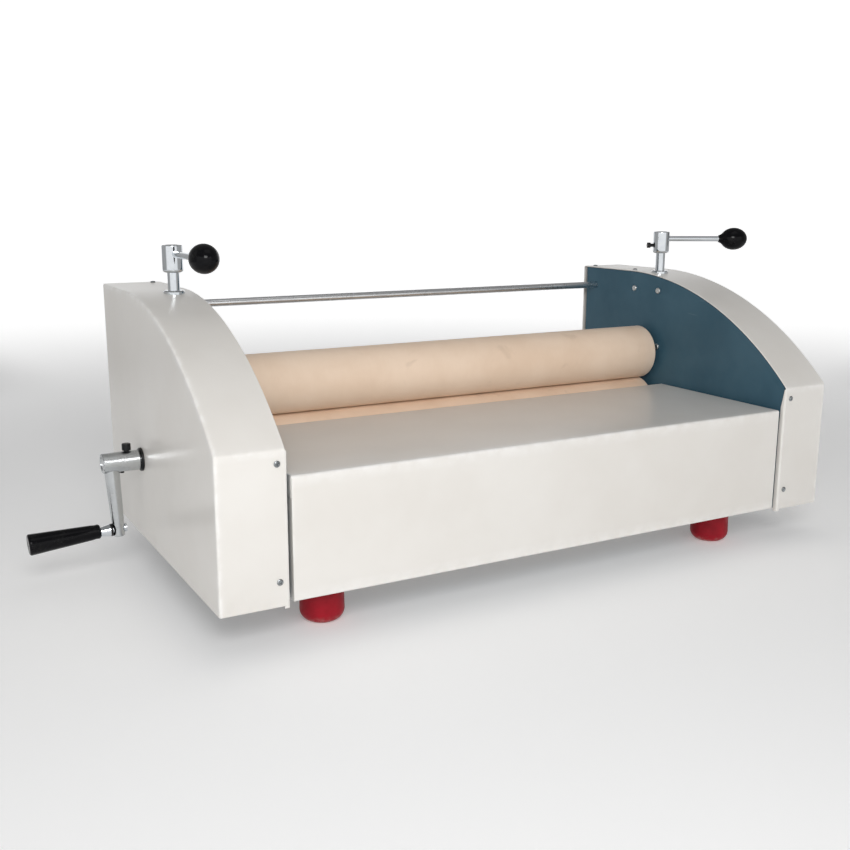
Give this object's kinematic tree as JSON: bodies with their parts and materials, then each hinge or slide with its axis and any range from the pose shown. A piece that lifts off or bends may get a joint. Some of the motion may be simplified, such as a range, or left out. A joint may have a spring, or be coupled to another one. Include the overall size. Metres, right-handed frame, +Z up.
{
  "type": "etching press",
  "caption": "Hand-cranked table-top roller press with a feed table, rubber rollers, end covers and screw-down pressure levers.",
  "frame": {"origin": "on the bench, at the centre of the rectangle of the four feet, midway between the side plates", "axes": "+X along the rollers to the right as seen from the feed side, +Y from the feed side to the rear, +Z up"},
  "size_m": [1.0457, 0.4404, 0.4107],
  "materials": {
    "cream_powder_coat": "smooth semi-gloss powder coat",
    "slate_blue_paint": "satin enamel",
    "red_rubber": "moulded, matt",
    "tan_rubber": "ground rubber, matt",
    "cast_iron": "machined grey iron",
    "bronze": "sintered bronze",
    "chrome": "bright chrome plate",
    "satin_nickel": "satin nickel plate",
    "bright_steel": "turned steel",
    "zinc_plate": "zinc plated",
    "black_oxide": "black oxide",
    "black_bakelite": "polished phenolic"
  },
  "bodies": {
    "frame": {"left_side_plate": "slate_blue_paint", "right_side_plate": "slate_blue_paint", "left_cover": "cream_powder_coat", "right_cover": "cream_powder_coat", "cover_brackets": "slate_blue_paint", "cover_screws": "zinc_plate", "feed_table": "cream_powder_coat", "outfeed_table": "cream_powder_coat", "table_fasteners": "zinc_plate", "base_channel_front": "slate_blue_paint", "base_channel_rear": "slate_blue_paint", "base_channel_screws": "zinc_plate", "foot_front_left": "red_rubber", "foot_front_right": "red_rubber", "foot_rear_left": "red_rubber", "foot_rear_right": "red_rubber", "foot_fasteners": "zinc_plate", "top_tie_rod": "bright_steel", "tie_rod_nuts": "zinc_plate", "left_lower_bearing_block": "cast_iron", "left_nut_block": "cast_iron", "right_lower_bearing_block": "cast_iron", "right_nut_block": "cast_iron", "guide_rails": "bright_steel", "carrier_screws": "zinc_plate", "lower_bushes": "bronze", "return_springs": "zinc_plate", "left_post_collar": "chrome", "right_post_collar": "chrome", "crank_shaft_ring": "black_oxide"},
    "upper_carriage": {"left_sliding_bearing_block": "cast_iron", "right_sliding_bearing_block": "cast_iron", "upper_bushes": "bronze"},
    "upper_roller": {"upper_roller_shaft": "bright_steel", "upper_roller_tube": "bright_steel", "upper_roller_rubber": "tan_rubber", "upper_gear": "bright_steel", "upper_circlip": "zinc_plate"},
    "lower_roller": {"lower_roller_shaft": "bright_steel", "lower_roller_tube": "bright_steel", "lower_roller_rubber": "tan_rubber", "lower_gear": "bright_steel", "lower_circlip": "zinc_plate", "crank_hub": "satin_nickel", "crank_clamp_bolt": "black_oxide", "crank_lock_screw": "black_oxide", "crank_arm": "satin_nickel", "grip_spindle": "chrome", "grip_washer": "black_oxide"},
    "crank_grip": {"crank_grip": "black_bakelite"},
    "left_lever": {"left_pressure_screw": "chrome", "left_lever_hub": "chrome", "left_lever_rod": "chrome", "left_lever_knob": "black_bakelite", "left_lever_set_screw": "black_oxide"},
    "right_lever": {"right_pressure_screw": "chrome", "right_lever_hub": "chrome", "right_lever_rod": "chrome", "right_lever_knob": "black_bakelite", "right_lever_set_screw": "black_oxide"}
  },
  "joints": [
    {"name": "crank_turn", "type": "hinge", "parent": "frame", "child": "lower_roller", "pos_m": [0, 0.0635, 0.1475], "axis": [1, 0, 0], "continuous": true},
    {"name": "grip_spin", "type": "hinge", "parent": "lower_roller", "child": "crank_grip", "pos_m": [-0.45421, 0.0635, 0.06561], "axis": [-0.9986, 0, -0.0523], "continuous": true},
    {"name": "roller_lift", "type": "slide", "parent": "frame", "child": "upper_carriage", "axis": [0, 0, 1], "range_m": [0, 0.0045], "deforming": ["return_springs"]},
    {"name": "upper_roller_turn", "type": "hinge", "parent": "upper_carriage", "child": "upper_roller", "pos_m": [0, 0.0635, 0.2255], "axis": [1, 0, 0], "continuous": true},
    {"name": "left_screw_turn", "type": "hinge", "parent": "upper_carriage", "child": "left_lever", "pos_m": [-0.373, 0.0635, 0.3], "axis": [0, 0, 1], "range_deg": [0, 540]},
    {"name": "right_screw_turn", "type": "hinge", "parent": "upper_carriage", "child": "right_lever", "pos_m": [0.373, 0.0635, 0.3], "axis": [0, 0, 1], "range_deg": [0, 540]}
  ],
  "couplings": [
    {"joint": "upper_roller_turn", "follows": "crank_turn", "ratio": -1},
    {"joint": "roller_lift", "follows": "left_screw_turn", "m_per_rad": 0.00047746},
    {"joint": "right_screw_turn", "follows": "left_screw_turn", "ratio": 1}
  ]
}
